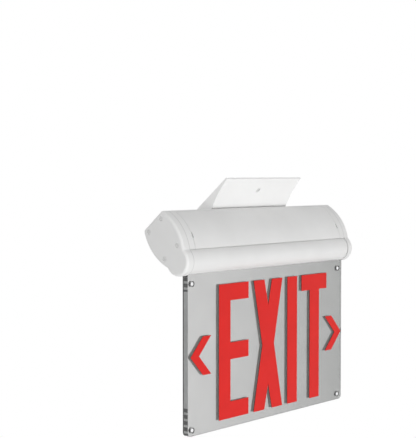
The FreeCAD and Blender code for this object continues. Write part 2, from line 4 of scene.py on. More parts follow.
import bmesh
import bpy
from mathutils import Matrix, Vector


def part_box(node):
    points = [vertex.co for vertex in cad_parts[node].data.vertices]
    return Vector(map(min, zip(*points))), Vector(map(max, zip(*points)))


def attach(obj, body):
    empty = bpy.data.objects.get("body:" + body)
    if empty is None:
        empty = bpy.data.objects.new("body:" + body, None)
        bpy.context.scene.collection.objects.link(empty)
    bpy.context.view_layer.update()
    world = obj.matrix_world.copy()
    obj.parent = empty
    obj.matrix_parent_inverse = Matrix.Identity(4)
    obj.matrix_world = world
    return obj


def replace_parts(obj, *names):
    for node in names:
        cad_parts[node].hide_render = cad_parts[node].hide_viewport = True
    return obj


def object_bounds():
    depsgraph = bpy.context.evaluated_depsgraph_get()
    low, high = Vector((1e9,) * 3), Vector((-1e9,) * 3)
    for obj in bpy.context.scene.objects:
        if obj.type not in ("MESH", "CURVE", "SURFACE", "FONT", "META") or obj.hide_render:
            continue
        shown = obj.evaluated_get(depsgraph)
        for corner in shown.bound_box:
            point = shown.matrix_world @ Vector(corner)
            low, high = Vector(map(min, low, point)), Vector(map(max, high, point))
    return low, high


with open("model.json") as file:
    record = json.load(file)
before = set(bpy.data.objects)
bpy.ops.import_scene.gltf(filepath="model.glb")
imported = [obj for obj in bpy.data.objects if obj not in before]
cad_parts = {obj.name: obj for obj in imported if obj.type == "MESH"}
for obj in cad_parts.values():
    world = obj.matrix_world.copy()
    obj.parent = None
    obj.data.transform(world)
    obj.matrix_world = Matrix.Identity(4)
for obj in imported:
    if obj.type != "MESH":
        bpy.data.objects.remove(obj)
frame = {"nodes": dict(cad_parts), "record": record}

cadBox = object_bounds()
nodes = frame["nodes"]
mm = 0.001
sameSpot = 1e-6                             # metres
ceilingAxis = Vector([m for m in frame["record"]["mounts"] if m["name"] == "ceiling_face"][0]["axis"])
ceilingSlope = math.acos(ceilingAxis.z)


# camera; place in metres
cameraSettings = {
    "place": (-1.0671, -0.87969, 0.04101),
    "yawDeg": 49.08,                        # from +Y towards +X
    "pitchDeg": -2.30,
    "lens": 94.83,
    "sensorHeight": 36.0,
    "farEnd": 50,
}


def makeCamera(s):
    data = bpy.data.cameras.new("studioCamera")
    data.lens = s["lens"]
    data.sensor_fit = "VERTICAL"
    data.sensor_height = s["sensorHeight"]
    data.clip_end = s["farEnd"]
    camera = bpy.data.objects.new("studioCamera", data)
    bpy.context.scene.collection.objects.link(camera)
    yaw, pitch = math.radians(s["yawDeg"]), math.radians(s["pitchDeg"])
    aim = Vector((math.sin(yaw) * math.cos(pitch), math.cos(yaw) * math.cos(pitch), math.sin(pitch)))
    camera.location = s["place"]
    camera.rotation_euler = aim.to_track_quat("-Z", "Y").to_euler()
    bpy.context.scene.camera = camera


makeCamera(cameraSettings)
print("camera ready")


# node tools

def addNode(tree, kind, **settings):
    node = tree.nodes.new("ShaderNode" + kind)
    for key, value in settings.items():
        setattr(node, key, value)
    return node


# sets a socket, or links it where the value is another node's output
def feed(tree, socket, value):
    if isinstance(value, bpy.types.NodeSocket):
        tree.links.new(value, socket)
    elif socket.type == "RGBA":
        socket.default_value = (*value, 1)
    else:
        socket.default_value = value


def calculate(tree, operation, first, second=None, clamp=False):
    node = addNode(tree, "Math", operation=operation, use_clamp=clamp)
    feed(tree, node.inputs[0], first)
    if second is not None:
        feed(tree, node.inputs[1], second)
    return node.outputs[0]


def spread(tree, value, low, high, fromLow=0.3, fromHigh=0.7, curve="LINEAR"):
    ranger = addNode(tree, "MapRange", interpolation_type=curve)
    ranger.inputs["From Min"].default_value = fromLow
    ranger.inputs["From Max"].default_value = fromHigh
    ranger.inputs["To Min"].default_value = low
    ranger.inputs["To Max"].default_value = high
    tree.links.new(value, ranger.inputs["Value"])
    return ranger.outputs["Result"]


# light, floor and surroundings; places and sizes in metres
studio = {
    "floorDrop": 1.2,                       # floor under the sign
    "floorSize": 40.0,
    "floorTone": 0.86,
    "shadowShare": 0.2,                     # how much of the floor's own shading shows near the sign
    "shadowNear": 1.2,
    "shadowFar": 4.0,
    "roomTone": 0.35,                       # room light that falls on the sign
    "aim": (0, 0, -0.1),
    "lamps": {
        "keyLamp": {"place": (-0.5, -2.1, -1.1), "size": 1.3, "power": 35.0},
        "fillLamp": {"place": (-2.6, -0.3, 0.2), "size": 1.6, "power": 17.0},
        "topLamp": {"place": (-0.6, -1.6, 2.2), "size": 2.0, "power": 10.8},
        "roofLamp": {"place": (0.6, 1.0, 2.3), "size": 2.0, "power": 12.8},
        "backLamp": {"place": (0.4, 2.6, 0.1), "size": 2.6, "power": 11.0},
    },
}


def makeLamps(s):
    for name, lamp in s["lamps"].items():
        data = bpy.data.lights.new(name, "AREA")
        data.shape = "DISK"
        data.size = lamp["size"]
        data.energy = lamp["power"]
        thing = bpy.data.objects.new(name, data)
        thing.location = lamp["place"]
        thing.rotation_euler = (Vector(s["aim"]) - Vector(lamp["place"])).to_track_quat("-Z", "Y").to_euler()
        thing.visible_camera = False
        thing.visible_glossy = False        # the mirror-like panel shows only the pale room
        bpy.context.scene.collection.objects.link(thing)


# 1 for what the camera sees straight, in a shiny surface or through clear plastic
def seenDirectly(tree):
    path = addNode(tree, "LightPath")
    direct = calculate(tree, "ADD", path.outputs["Is Camera Ray"], path.outputs["Is Glossy Ray"])
    return calculate(tree, "ADD", direct, path.outputs["Is Transmission Ray"], clamp=True)


def makeRoom(s):
    world = bpy.data.worlds.new("paleRoom")
    bpy.context.scene.world = world
    world.use_nodes = True
    tree = world.node_tree
    tree.nodes.clear()
    mix = addNode(tree, "MixShader")
    tree.links.new(seenDirectly(tree), mix.inputs[0])
    for socket, strength in ((mix.inputs[1], s["roomTone"]), (mix.inputs[2], 1.0)):
        glow = addNode(tree, "Background")
        glow.inputs["Color"].default_value = (1, 1, 1, 1)
        glow.inputs["Strength"].default_value = strength
        tree.links.new(glow.outputs[0], socket)
    tree.links.new(mix.outputs[0], addNode(tree, "OutputWorld").inputs[0])


def makeFloor(s):
    half = s["floorSize"] / 2
    height = cadBox[0][2] - s["floorDrop"]
    mesh = bpy.data.meshes.new("studioFloor")
    corners = [(-half, -half, height), (half, -half, height), (half, half, height), (-half, half, height)]
    mesh.from_pydata(corners, [], [(0, 1, 2, 3)])
    floor = bpy.data.objects.new("studioFloor", mesh)
    bpy.context.scene.collection.objects.link(floor)
    material = bpy.data.materials.new("paleFloor")
    material.use_nodes = True
    tree = material.node_tree
    tree.nodes.clear()
    paint = addNode(tree, "BsdfDiffuse")
    paint.inputs["Color"].default_value = (s["floorTone"], s["floorTone"], s["floorTone"], 1)
    glow = addNode(tree, "Emission")
    glow.inputs["Strength"].default_value = 1.0
    reach = addNode(tree, "VectorMath", operation="LENGTH")
    tree.links.new(addNode(tree, "TexCoord").outputs["Object"], reach.inputs[0])
    fade = spread(tree, reach.outputs["Value"], 1 - s["shadowShare"], 1.0, math.hypot(height, s["shadowNear"]),
                  math.hypot(height, s["shadowFar"]), "SMOOTHSTEP")
    mix = addNode(tree, "MixShader")
    tree.links.new(calculate(tree, "MULTIPLY", seenDirectly(tree), fade), mix.inputs[0])
    tree.links.new(paint.outputs[0], mix.inputs[1])
    tree.links.new(glow.outputs[0], mix.inputs[2])
    tree.links.new(mix.outputs[0], addNode(tree, "OutputMaterial").inputs[0])
    mesh.materials.append(material)


makeLamps(studio)
makeRoom(studio)
makeFloor(studio)
bpy.context.scene.view_settings.view_transform = "Standard"
print("studio ready")


# tools for the finishes

def startFinish(name, colour, roughness, metallic=0.0):
    material = bpy.data.materials.new(name)
    material.use_nodes = True
    shader = material.node_tree.nodes["Principled BSDF"]
    shader.inputs["Base Color"].default_value = (*colour, 1)
    shader.inputs["Roughness"].default_value = roughness
    shader.inputs["Metallic"].default_value = metallic
    return material, material.node_tree, shader


# object coordinates in metres, turned and stretched
def placeAt(tree, stretch=(1, 1, 1), turn=(0, 0, 0)):
    mapping = addNode(tree, "Mapping")
    mapping.inputs["Scale"].default_value = stretch
    mapping.inputs["Rotation"].default_value = turn
    tree.links.new(addNode(tree, "TexCoord").outputs["Object"], mapping.inputs["Vector"])
    return mapping.outputs["Vector"]


def oneAxis(tree, vector, axis):
    split = addNode(tree, "SeparateXYZ")
    tree.links.new(vector, split.inputs[0])
    return split.outputs[axis]


def grain(tree, scale, detail=2.0, stretch=(1, 1, 1)):
    noise = addNode(tree, "TexNoise")
    noise.inputs["Scale"].default_value = scale
    noise.inputs["Detail"].default_value = detail
    tree.links.new(placeAt(tree, stretch), noise.inputs["Vector"])
    return noise.outputs["Fac"]


def waves(tree, direction, scale, vector):
    wave = addNode(tree, "TexWave", bands_direction=direction)
    wave.inputs["Scale"].default_value = scale
    tree.links.new(vector, wave.inputs["Vector"])
    return wave


def blendColours(tree, factor, first, second, how="MIX"):
    mix = addNode(tree, "Mix", data_type="RGBA", blend_type=how)
    feed(tree, mix.inputs["Factor"], factor)
    feed(tree, mix.inputs["A"], first)
    feed(tree, mix.inputs["B"], second)
    return mix.outputs["Result"]


def shade(colour, factor):
    return tuple(min(1.0, c * factor) for c in colour)


# a colour that drifts between two shades of itself
def drift(tree, factor, colour, dark, light):
    return blendColours(tree, factor, shade(colour, dark), shade(colour, light))


def relief(tree, shader, height, strength, depth):
    bump = addNode(tree, "Bump")
    bump.inputs["Strength"].default_value = strength
    bump.inputs["Distance"].default_value = depth
    tree.links.new(height, bump.inputs["Height"])
    tree.links.new(bump.outputs["Normal"], shader.inputs["Normal"])


# powder coat, moulded and painted finishes; depth in metres
coats = {
    "housingPowder": {"colour": (0.79, 0.79, 0.785), "rough": 0.42, "peel": 750, "depth": 5e-5, "drift": 0.025},
    "canopyShell": {"colour": (0.90, 0.90, 0.895), "rough": 0.45, "peel": 1200, "depth": 2e-5, "drift": 0.015},
    "nylonNatural": {"colour": (0.78, 0.76, 0.68), "rough": 0.5, "peel": 900, "depth": 2e-5, "drift": 0.04},
    "relayPlastic": {"colour": (0.03, 0.03, 0.032), "rough": 0.35, "peel": 1500, "depth": 2e-5, "drift": 0.1},
    "switchPlastic": {"colour": (0.04, 0.04, 0.042), "rough": 0.5, "peel": 1200, "depth": 3e-5, "drift": 0.1},
    "terminalPlastic": {"colour": (0.04, 0.36, 0.17), "rough": 0.4, "peel": 1500, "depth": 2e-5, "drift": 0.06},
    "buttonPlastic": {"colour": (0.62, 0.045, 0.035), "rough": 0.3, "peel": 1500, "depth": 2e-5, "drift": 0.04},
    "lampLens": {"colour": (0.7, 0.05, 0.03), "rough": 0.12, "peel": 500, "depth": 1e-5, "drift": 0.08},
    "screwPaint": {"colour": (0.74, 0.74, 0.735), "rough": 0.35, "peel": 1500, "depth": 2e-5, "drift": 0.05},
    # near-black sides of the letters: painted shade on their side walls
    "legendSideShade": {"colour": (0.075, 0.03, 0.028), "rough": 0.5, "peel": 1500, "depth": 1e-5, "drift": 0.1},
    # backs of the letters, which also take a painted glow below
    "legendBackGlow": {"colour": (0.31, 0.30, 0.28), "rough": 0.6, "peel": 1500, "depth": 1e-5, "drift": 0.06},
    # dark rings round the rivets: painted shade
    "rivetShadeRing": {"colour": (0.10, 0.10, 0.102), "rough": 0.6, "peel": 1200, "depth": 3e-5, "drift": 0.1},
}
coatGrain = {"cloud": 22, "cloudDetail": 3, "roughSwing": 0.05, "bump": 0.5}


def makeCoat(name, s, g):
    material, tree, shader = startFinish(name, s["colour"], s["rough"])
    tone = spread(tree, grain(tree, g["cloud"], g["cloudDetail"]), 0, 1)
    feed(tree, shader.inputs["Base Color"], drift(tree, tone, s["colour"], 1 - s["drift"], 1 + s["drift"]))
    peel = grain(tree, s["peel"])
    rough = spread(tree, peel, s["rough"] - g["roughSwing"], s["rough"] + g["roughSwing"])
    feed(tree, shader.inputs["Roughness"], rough)
    relief(tree, shader, peel, g["bump"], s["depth"])
    return material


# the end caps' coat, with a faint painted shade line where a cap meets the body
capSeamShade = {
    "coats": {"capPowderLeft": "end_cap_left", "capPowderRight": "end_cap_right"},
    "wide": 0.9,                            # mm
    "soft": 0.35,                           # mm
    "shade": 0.74,
}


def makeCapCoat(name, node, s):
    material = makeCoat(name, coats["housingPowder"], coatGrain)
    tree = material.node_tree
    base = tree.nodes["Principled BSDF"].inputs["Base Color"]
    coat = base.links[0].from_socket
    low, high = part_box(node)
    inner = min(abs(low.x), abs(high.x)) + s["wide"] * mm
    across = calculate(tree, "ABSOLUTE", oneAxis(tree, placeAt(tree), "X"))
    # painted shade: the coat darkens in a thin band next to the body
    line = spread(tree, across, 1, 0, inner - s["soft"] * mm, inner)
    feed(tree, base, blendColours(tree, line, coat, shade(coats["housingPowder"]["colour"], s["shade"])))
    return material


# painted glow: the back of the legend glows faintly though no lamp lights it, which lifts its dark reflection in
# the silver film
paintedBackGlow = {"colour": (1.0, 0.98, 0.92), "strength": 0.13}


def paintBackGlow(material, s):
    shader = material.node_tree.nodes["Principled BSDF"]
    shader.inputs["Emission Color"].default_value = (*s["colour"], 1)
    shader.inputs["Emission Strength"].default_value = s["strength"]


finishes = {name: makeCoat(name, s, coatGrain) for name, s in coats.items()}
finishes.update({name: makeCapCoat(name, node, capSeamShade) for name, node in capSeamShade["coats"].items()})
paintBackGlow(finishes["legendBackGlow"], paintedBackGlow)


# metals; depth in metres
zinc = {
    "colour": (0.60, 0.61, 0.63), "rough": 0.36, "spangle": 180, "dark": 0.86, "light": 1.12,
    "smoother": 0.08, "rougher": 0.1,
    "grit": {"scale": 900, "bump": 0.4, "depth": 3e-5},
    "thread": {"scale": 210, "bump": 0.9, "depth": 4e-4},
}
drawnMetals = {
    "millAluminium": {"colour": (0.74, 0.75, 0.76), "rough": 0.34, "along": (6, 500, 500)},
    "springSteel": {"colour": (0.42, 0.42, 0.44), "rough": 0.3, "along": (500, 60, 60)},
    "brightRivet": {"colour": (0.93, 0.93, 0.94), "rough": 0.14, "along": (300, 300, 300)},
}
drawnLines = {"dark": 0.93, "light": 1.05, "smoother": 0.06, "rougher": 0.1, "bump": 0.3, "depth": 2e-5}


def makeZinc(name, s, threaded):
    material, tree, shader = startFinish(name, s["colour"], s["rough"], 1.0)
    spangle = addNode(tree, "TexVoronoi")
    spangle.inputs["Scale"].default_value = s["spangle"]
    tree.links.new(placeAt(tree), spangle.inputs["Vector"])
    split = addNode(tree, "SeparateColor")
    tree.links.new(spangle.outputs["Color"], split.inputs[0])
    patch = split.outputs[0]
    feed(tree, shader.inputs["Base Color"], drift(tree, patch, s["colour"], s["dark"], s["light"]))
    rough = spread(tree, patch, s["rough"] - s["smoother"], s["rough"] + s["rougher"], 0, 1)
    feed(tree, shader.inputs["Roughness"], rough)
    if threaded:                            # its turns follow each other along the ceiling's axis
        cut = s["thread"]
        height = waves(tree, "Z", cut["scale"], placeAt(tree, turn=(ceilingSlope, 0, 0))).outputs["Fac"]
    else:
        cut = s["grit"]
        height = grain(tree, cut["scale"])
    relief(tree, shader, height, cut["bump"], cut["depth"])
    return material


def makeDrawnMetal(name, s, d):
    material, tree, shader = startFinish(name, s["colour"], s["rough"], 1.0)
    lines = grain(tree, 1.0, stretch=s["along"])
    tone = spread(tree, lines, 0, 1)
    feed(tree, shader.inputs["Base Color"], drift(tree, tone, s["colour"], d["dark"], d["light"]))
    rough = spread(tree, lines, s["rough"] - d["smoother"], s["rough"] + d["rougher"])
    feed(tree, shader.inputs["Roughness"], rough)
    relief(tree, shader, lines, d["bump"], d["depth"])
    return material


finishes["zincPlate"] = makeZinc("zincPlate", zinc, False)
finishes["threadedZinc"] = makeZinc("threadedZinc", zinc, True)
finishes.update({name: makeDrawnMetal(name, s, drawnLines) for name, s in drawnMetals.items()})


# electrical pieces; depths in metres
board = {
    "green": (0.03, 0.20, 0.09), "trace": (0.06, 0.30, 0.14), "rough": 0.35, "lighter": 1.15,
    "scale": 90, "traceWide": 0.06, "bump": 0.4, "depth": 4e-5,
}
cell = {
    "blue": (0.05, 0.17, 0.42), "dark": 0.8, "light": 1.25, "rough": 0.3,
    "wrinkle": 120, "detail": 3, "along": (0.4, 1, 1), "bump": 0.5, "depth": 1e-4,
}
core = {
    "grey": (0.10, 0.10, 0.105), "rough": 0.5, "metallic": 0.4,
    "patch": 18, "patchEdge": (0.55, 0.6), "patchLight": 1.8,
    "layers": 300, "bump": 0.6, "depth": 1e-4,
}
can = {
    "sleeve": (0.025, 0.025, 0.03), "top": (0.72, 0.72, 0.74), "topEdge": (0.8, 0.9), "rough": 0.35,
    "scale": 700, "bump": 0.3, "depth": 3e-5,
}
phosphor = {
    "yellow": (0.90, 0.80, 0.32), "dark": 0.92, "rough": 0.4, "speck": 2500,
    "scale": 1500, "bump": 0.3, "depth": 2e-5,
}


def makeBoard(s):
    material, tree, shader = startFinish("circuitBoard", s["green"], s["rough"])
    tracks = addNode(tree, "TexBrick")
    tracks.inputs["Scale"].default_value = s["scale"]
    tracks.inputs["Mortar Size"].default_value = s["traceWide"]
    tracks.inputs["Color1"].default_value = (*s["green"], 1)
    tracks.inputs["Color2"].default_value = (*shade(s["green"], s["lighter"]), 1)
    tracks.inputs["Mortar"].default_value = (*s["trace"], 1)
    # turned past the slope, so that the tracks draw out into long lines over the board's width
    tree.links.new(placeAt(tree, turn=(-ceilingSlope, 0, 0)), tracks.inputs["Vector"])
    feed(tree, shader.inputs["Base Color"], tracks.outputs["Color"])
    relief(tree, shader, tracks.outputs["Fac"], s["bump"], s["depth"])
    return material


def makeCell(s):
    material, tree, shader = startFinish("cellSleeve", s["blue"], s["rough"])
    wrinkle = grain(tree, s["wrinkle"], s["detail"], s["along"])
    tone = spread(tree, wrinkle, 0, 1)
    feed(tree, shader.inputs["Base Color"], drift(tree, tone, s["blue"], s["dark"], s["light"]))
    relief(tree, shader, wrinkle, s["bump"], s["depth"])
    return material


def makeCore(s):
    material, tree, shader = startFinish("laminatedCore", s["grey"], s["rough"], s["metallic"])
    patch = spread(tree, grain(tree, s["patch"], 0), 0, 1, *s["patchEdge"])
    feed(tree, shader.inputs["Base Color"], drift(tree, patch, s["grey"], 1, s["patchLight"]))
    layers = waves(tree, "X", s["layers"], placeAt(tree)).outputs["Fac"]
    relief(tree, shader, layers, s["bump"], s["depth"])
    return material


# black sleeve with a bare metal top, told apart by where the surface faces
def makeCan(s):
    material, tree, shader = startFinish("capacitorCan", s["sleeve"], s["rough"])
    along = addNode(tree, "VectorMath", operation="DOT_PRODUCT")
    along.inputs[1].default_value = ceilingAxis
    tree.links.new(addNode(tree, "NewGeometry").outputs["Normal"], along.inputs[0])
    top = spread(tree, along.outputs["Value"], 0, 1, *s["topEdge"])
    feed(tree, shader.inputs["Base Color"], blendColours(tree, top, s["sleeve"], s["top"]))
    feed(tree, shader.inputs["Metallic"], top)
    relief(tree, shader, grain(tree, s["scale"]), s["bump"], s["depth"])
    return material


def makePhosphor(s):
    material, tree, shader = startFinish("ledPhosphor", s["yellow"], s["rough"])
    speck = spread(tree, grain(tree, s["speck"], 1), 0, 1)
    feed(tree, shader.inputs["Base Color"], drift(tree, speck, s["yellow"], s["dark"], 1))
    relief(tree, shader, grain(tree, s["scale"], 1), s["bump"], s["depth"])
    return material


finishes["circuitBoard"] = makeBoard(board)
finishes["cellSleeve"] = makeCell(cell)
finishes["laminatedCore"] = makeCore(core)
finishes["capacitorCan"] = makeCan(can)
finishes["ledPhosphor"] = makePhosphor(phosphor)


# clear panel
acrylic = {
    "colour": (0.975, 0.99, 0.985), "index": 1.49,
    "haze": 60, "hazeRough": 0.03,
    "ripple": 14, "bump": 0.05, "depth": 2e-4,
}

# silvered sheets, from the panel's left edge to its right edge; the film's fall from light to dark is a painted
# reflection
silvers = {
    "silverFilm": {"left": (0.63, 0.62, 0.62), "right": (0.43, 0.43, 0.425), "rough": 0.16},
    "silverSheet": {"left": (0.50, 0.505, 0.51), "right": (0.50, 0.505, 0.51), "rough": 0.3},
    "edgeGleam": {"left": (0.93, 0.93, 0.93), "right": (0.93, 0.93, 0.93), "rough": 0.12},
}
silverGrain = {"cloud": 35, "cloudDetail": 3, "cloudDark": 0.94, "scale": 250, "bump": 0.2, "depth": 2e-5}

# cut edges of the backing sheet, with a dark line along its rear edge
sheetEdge = {
    "colour": (0.30, 0.30, 0.30),
    "facing": (0.4, 0.6),                   # share of the surface's direction that points to the front or rear
    "rearLine": (0.06, 0.06, 0.06),
    "rearLineWide": 1.4,                    # mm
    "rearLineSoft": 0.1,                    # mm
}

# satin cut edge of the clear sheet; lengths in mm
cutEdge = {
    "colour": (0.385, 0.385, 0.385), "dark": 0.92, "light": 1.08, "rough": 0.4,
    "sawLines": (900, 90, 900), "bump": 0.3, "depth": 3e-5,
    "bar": (0.06, 0.06, 0.06),              # painted dark bars for the rivets and their shade rings seen through the edge
    "barStep": 6.8,
    "barFirst": 8.6,                        # above the lower edge
    "barsUpTo": 32.3,
    "barsFromTop": 10.0,                    # below the upper rivets
    "barSoft": 0.6,
    "barEdge": (0.55, 0.85),                # where a bar starts and ends in its wave
    # painted shade: a dark band along the lower corner of the edge
    "darkFoot": 1.8,
}

legendRed = {
    "colour": (0.69, 0.016, 0.013), "dark": 0.96, "light": 1.03, "cloud": 45, "cloudDetail": 3,
    "shine": 0.25, "rough": 0.42, "smoothest": 0.38, "roughest": 0.5, "speck": 500,
    "grit": 1100, "bump": 0.4, "depth": 2e-5,
}


def makeAcrylic(s):
    material, tree, shader = startFinish("clearAcrylic", s["colour"], 0.0)
    shader.inputs["Transmission Weight"].default_value = 1.0
    shader.inputs["IOR"].default_value = s["index"]
    feed(tree, shader.inputs["Roughness"], spread(tree, grain(tree, s["haze"]), 0.0, s["hazeRough"]))
    relief(tree, shader, grain(tree, s["ripple"], 1), s["bump"], s["depth"])
    return material


# the tone drifts from left to right where the two differ, as a painted reflection, under a faint cloud
def makeSilver(name, s, g):
    material, tree, shader = startFinish(name, s["left"], s["rough"], 1.0)
    tone = s["left"]
    if s["right"] != s["left"]:
        low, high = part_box("light_panel")
        across = spread(tree, oneAxis(tree, placeAt(tree), "X"), 0, 1, low.x, high.x)
        tone = blendColours(tree, across, s["left"], s["right"])
    patches = spread(tree, grain(tree, g["cloud"], g["cloudDetail"]), 0, 1)
    cloud = drift(tree, patches, (1, 1, 1), g["cloudDark"], 1)
    feed(tree, shader.inputs["Base Color"], blendColours(tree, 1.0, tone, cloud, "MULTIPLY"))
    relief(tree, shader, grain(tree, g["scale"]), g["bump"], g["depth"])
    return material


# where the surface faces sideways it is a cut edge, dark on its rear part
def addSheetEdge(material, s):
    tree = material.node_tree
    shader = tree.nodes["Principled BSDF"]
    face = shader.inputs["Base Color"].links[0].from_socket
    facing = oneAxis(tree, addNode(tree, "NewGeometry").outputs["Normal"], "Y")
    flat = spread(tree, calculate(tree, "ABSOLUTE", facing), 0, 1, *s["facing"])
    line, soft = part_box("silver_backing")[1].y - s["rearLineWide"] * mm, s["rearLineSoft"] * mm
    rear = spread(tree, oneAxis(tree, placeAt(tree), "Y"), 0, 1, line - soft, line + soft)
    edge = blendColours(tree, rear, s["colour"], s["rearLine"])
    feed(tree, shader.inputs["Base Color"], blendColours(tree, flat, edge, face))
    feed(tree, shader.inputs["Metallic"], flat)


# saw lines across the edge, with painted dark bars for the rivets seen through it and a painted shaded foot
def makeCutEdge(s):
    material, tree, shader = startFinish("cutEdge", s["colour"], s["rough"])
    lines = grain(tree, 1.0, stretch=s["sawLines"])
    colour = drift(tree, spread(tree, lines, 0, 1), s["colour"], s["dark"], s["light"])
    foot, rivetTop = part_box("light_panel")[0].z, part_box("panel_rivets")[1].z
    place = placeAt(tree)
    height = oneAxis(tree, place, "Z")
    step, soft = s["barStep"] * mm, s["barSoft"] * mm
    bars = waves(tree, "Z", math.pi / (10 * step), place)
    bars.inputs["Phase Offset"].default_value = -2 * math.pi * (foot + s["barFirst"] * mm) / step
    dark = spread(tree, bars.outputs["Fac"], 1, 0, *s["barEdge"])
    lowEnd, highEnd = foot + s["barsUpTo"] * mm, rivetTop - s["barsFromTop"] * mm
    below = spread(tree, height, 1, 0, lowEnd - soft, lowEnd)
    above = spread(tree, height, 0, 1, highEnd - soft, highEnd)
    barred = calculate(tree, "MULTIPLY", calculate(tree, "MAXIMUM", below, above), dark)
    corner = foot + s["darkFoot"] * mm
    total = calculate(tree, "MAXIMUM", barred, spread(tree, height, 1, 0, corner - soft, corner))
    feed(tree, shader.inputs["Base Color"], blendColours(tree, total, colour, s["bar"]))
    relief(tree, shader, lines, s["bump"], s["depth"])
    return material


def makeRed(s):
    material, tree, shader = startFinish("legendRed", s["colour"], s["rough"])
    shader.inputs["Specular IOR Level"].default_value = s["shine"]
    tone = spread(tree, grain(tree, s["cloud"], s["cloudDetail"]), 0, 1)
    feed(tree, shader.inputs["Base Color"], drift(tree, tone, s["colour"], s["dark"], s["light"]))
    rough = spread(tree, grain(tree, s["speck"]), s["smoothest"], s["roughest"])
    feed(tree, shader.inputs["Roughness"], rough)
    relief(tree, shader, grain(tree, s["grit"]), s["bump"], s["depth"])
    return material


finishes["clearAcrylic"] = makeAcrylic(acrylic)
finishes.update({name: makeSilver(name, s, silverGrain) for name, s in silvers.items()})
addSheetEdge(finishes["silverSheet"], sheetEdge)
finishes["cutEdge"] = makeCutEdge(cutEdge)
finishes["legendRed"] = makeRed(legendRed)
print("finishes ready:", len(finishes))


# finishes on the carried-over pieces
coatOf = {
    "housing_shell": "housingPowder", "front_cover": "housingPowder", "end_cap_left": "capPowderLeft",
    "end_cap_right": "capPowderRight", "pivot_barrel": "housingPowder", "mounting_canopy": "canopyShell",
    "mounting_plate": "zincPlate", "hub_locknut": "zincPlate", "hub_nipple": "threadedZinc",
    "canopy_screws": "screwPaint", "end_cap_screws": "screwPaint", "pivot_bushing_left": "nylonNatural",
    "pivot_bushing_right": "nylonNatural", "battery_pack": "cellSleeve", "battery_straps": "zincPlate",
    "driver_board": "circuitBoard", "board_standoffs": "nylonNatural", "board_screws": "zincPlate",
    "transformer": "laminatedCore", "capacitors": "capacitorCan", "transfer_relay": "relayPlastic",
    "terminal_block": "terminalPlastic", "test_button": "buttonPlastic", "test_switch": "switchPlastic",
    "status_lamp": "lampLens", "barrel_plug_left": "millAluminium", "barrel_plug_right": "millAluminium",
    "friction_washer_left": "springSteel", "friction_washer_right": "springSteel",
    "light_carrier": "millAluminium", "led_board": "circuitBoard", "led_emitters": "ledPhosphor",
    "panel_pins": "zincPlate", "light_panel": "clearAcrylic", "silver_backing": "silverSheet",
    "panel_rivets": "brightRivet",
}
for node, finish in coatOf.items():
    mesh = nodes[node].data
    mesh.materials.clear()
    mesh.materials.append(finishes[finish])
print("carried-over pieces finished:", len(coatOf))


# mesh tools

def addPiece(name, work, finish, body):
    bmesh.ops.recalc_face_normals(work, faces=work.faces)
    mesh = bpy.data.meshes.new(name)
    work.to_mesh(mesh)
    work.free()
    mesh.materials.append(finishes[finish])
    thing = bpy.data.objects.new(name, mesh)
    bpy.context.scene.collection.objects.link(thing)
    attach(thing, body)
    return thing


def circle(sides):
    return [2 * math.pi * i / sides for i in range(sides)]


# faces between two closed rings of equally many points
def joinRings(work, first, second, paint=0):
    for i in range(len(first)):
        j = (i + 1) % len(first)
        work.faces.new((first[i], first[j], second[j], second[i])).material_index = paint


# the separate solids of a carried-over piece, each as a list of points
def islands(node):
    work = bmesh.new()
    work.from_mesh(nodes[node].data)
    bmesh.ops.remove_doubles(work, verts=work.verts, dist=sameSpot)
    groups, seen = [], set()
    for start in work.verts:
        if start in seen:
            continue
        group, queue = [], [start]
        seen.add(start)
        while queue:
            vert = queue.pop()
            group.append(vert.co.copy())
            for edge in vert.link_edges:
                other = edge.other_vert(vert)
                if other not in seen:
                    seen.add(other)
                    queue.append(other)
        groups.append(group)
    work.free()
    return groups


# silver film in the clear panel, with the backing sheet's front outline
filmLook = {"depth": 3.5}                   # mm, under the clear panel's front face


def makeFilm(s):
    source = nodes["silver_backing"].data
    front = min(v.co.y for v in source.vertices)
    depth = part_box("light_panel")[0].y + s["depth"] * mm
    work = bmesh.new()
    made = {}
    for face in source.polygons:
        points = [source.vertices[i] for i in face.vertices]
        if all(abs(v.co.y - front) < sameSpot for v in points):
            for v in points:
                if v.index not in made:
                    made[v.index] = work.verts.new((v.co.x, depth, v.co.z))
            work.faces.new([made[v.index] for v in points])
    addPiece("silverFilmSheet", work, "silverFilm", "sign")


makeFilm(filmLook)
print("silver film ready")


# cut edges of the clear sheet, just under its polished skin; lengths in mm
edgeStrip = {
    "under": {"panelCutEdge": 0.05, "panelEdgeGleam": 0.12},  # below the sheet's edge faces
    "finish": {"panelCutEdge": "cutEdge", "panelEdgeGleam": "edgeGleam"},
    "frontGap": 0.25,
    "backGap": 0.1,
    "corner": 5.0,
    "cornerSteps": 8,
    "topDrop": 17.0,                        # below the barrel's axis
}


def makeEdgeStrip(name, s):
    low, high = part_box("light_panel")
    under = s["under"][name] * mm
    corner = s["corner"] * mm - under
    left, right, bottom = low.x + under, high.x - under, low.z + under
    barrelLow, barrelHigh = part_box("pivot_barrel")
    top = (barrelLow.z + barrelHigh.z) / 2 - s["topDrop"] * mm
    angles = [math.pi / 2 * i / s["cornerSteps"] for i in range(s["cornerSteps"] + 1)]
    path = [(left, top)]
    for side, centre, turns in ((-1, left + corner, angles), (1, right - corner, angles[::-1])):
        for angle in turns:
            path.append((centre + side * corner * math.cos(angle), bottom + corner - corner * math.sin(angle)))
    path.append((right, top))
    front, back = low.y + s["frontGap"] * mm, high.y - s["backGap"] * mm
    work = bmesh.new()
    rows = [(work.verts.new((x, front, z)), work.verts.new((x, back, z))) for x, z in path]
    for first, second in zip(rows, rows[1:]):
        work.faces.new((first[0], first[1], second[1], second[0]))
    addPiece(name, work, s["finish"][name], "sign")


for name in edgeStrip["under"]:
    makeEdgeStrip(name, edgeStrip)


# dark rings under the rivet heads: painted shade in the hollows round the rivets; lengths in mm
shadeRingLook = {"inner": 2.35, "outer": 3.1, "thick": 0.45, "round": 0.12, "seat": 1.0, "lift": 0.01, "sides": 36}


